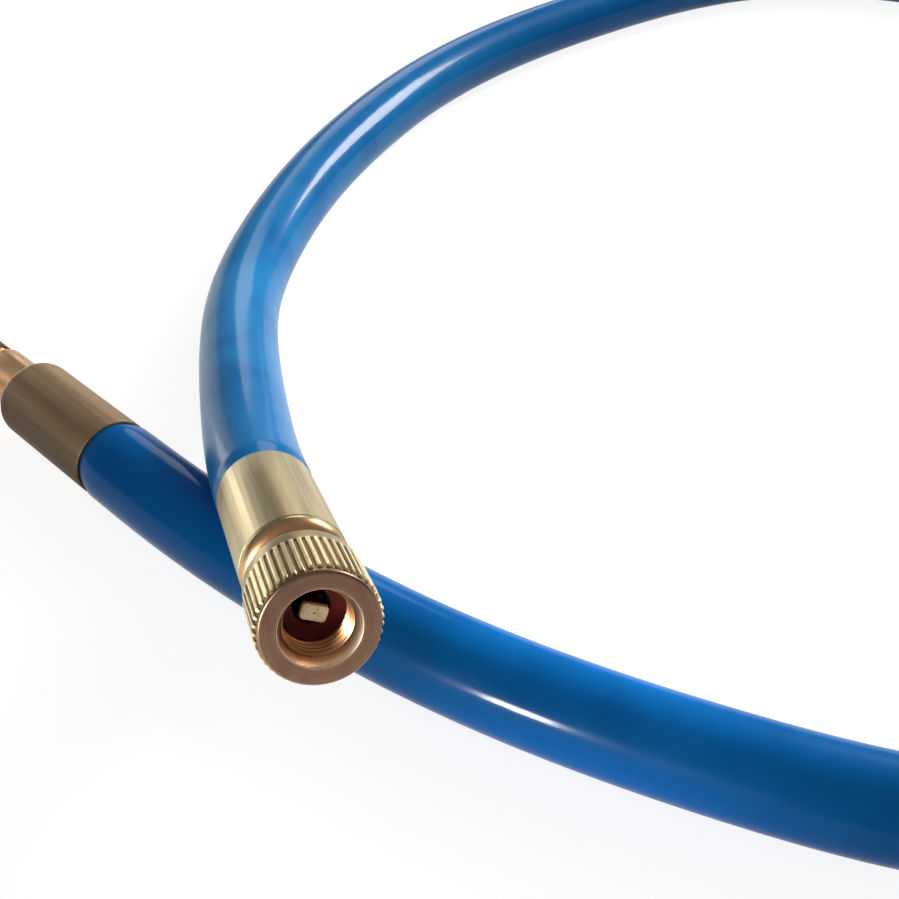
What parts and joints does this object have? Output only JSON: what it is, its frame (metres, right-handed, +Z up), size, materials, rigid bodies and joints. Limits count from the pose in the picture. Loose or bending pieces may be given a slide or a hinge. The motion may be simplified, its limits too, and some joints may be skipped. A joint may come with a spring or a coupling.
{
  "type": "air hose",
  "caption": "Flexible air hose lying in one loop, with a screw-on tyre chuck that has a knurled swivel nut at one end and a threaded valve stem at the other.",
  "frame": {"origin": "middle of the two metal fittings' box, on the surface that the hose lies on", "axes": "+Z up from the surface, +Y along the longer side of the fittings' box, away from the chuck's mouth, +X to the right of it, towards the hose's loop"},
  "size_m": [0.2685, 0.3204, 0.0401],
  "materials": {
    "hose": "glossy, slightly translucent blue hose",
    "ferrule_brass": "satin drawn brass",
    "dark_brass": "satin brown brass",
    "nut_brass": "turned and knurled brass",
    "stem_brass": "turned brass",
    "red_rubber": "matt dark red rubber",
    "black_rubber": "matt black rubber",
    "steel": "plated spring steel"
  },
  "bodies": {
    "hose_line": {"hose": "hose", "hose_chuck_end": "hose", "hose_pump_end": "hose", "chuck_ferrule": "ferrule_brass", "pump_ferrule": "dark_brass", "chuck_stem": "stem_brass", "gasket": "red_rubber", "depressor": "steel", "valve_stem": "dark_brass", "core_plug": "stem_brass", "core_barrel": "stem_brass", "barrel_seal": "red_rubber", "core_spring": "steel"},
    "swivel_nut": {"knurled_nut": "nut_brass"},
    "core_poppet": {"core_pin": "stem_brass", "core_cup": "stem_brass", "cup_washer": "black_rubber"}
  },
  "joints": [
    {"name": "nut_spin", "type": "hinge", "parent": "hose_line", "child": "swivel_nut", "pos_m": [0.03191, -0.04719, 0.0336], "axis": [0.2735, -0.9174, 0.289], "continuous": true},
    {"name": "pin_press", "type": "slide", "parent": "hose_line", "child": "core_poppet", "axis": [0.7009, -0.7133, 0], "range_m": [0, 0.0015], "stiffness_N_per_m": 400, "springref_m": -0.002, "deforming": ["core_spring"]}
  ]
}
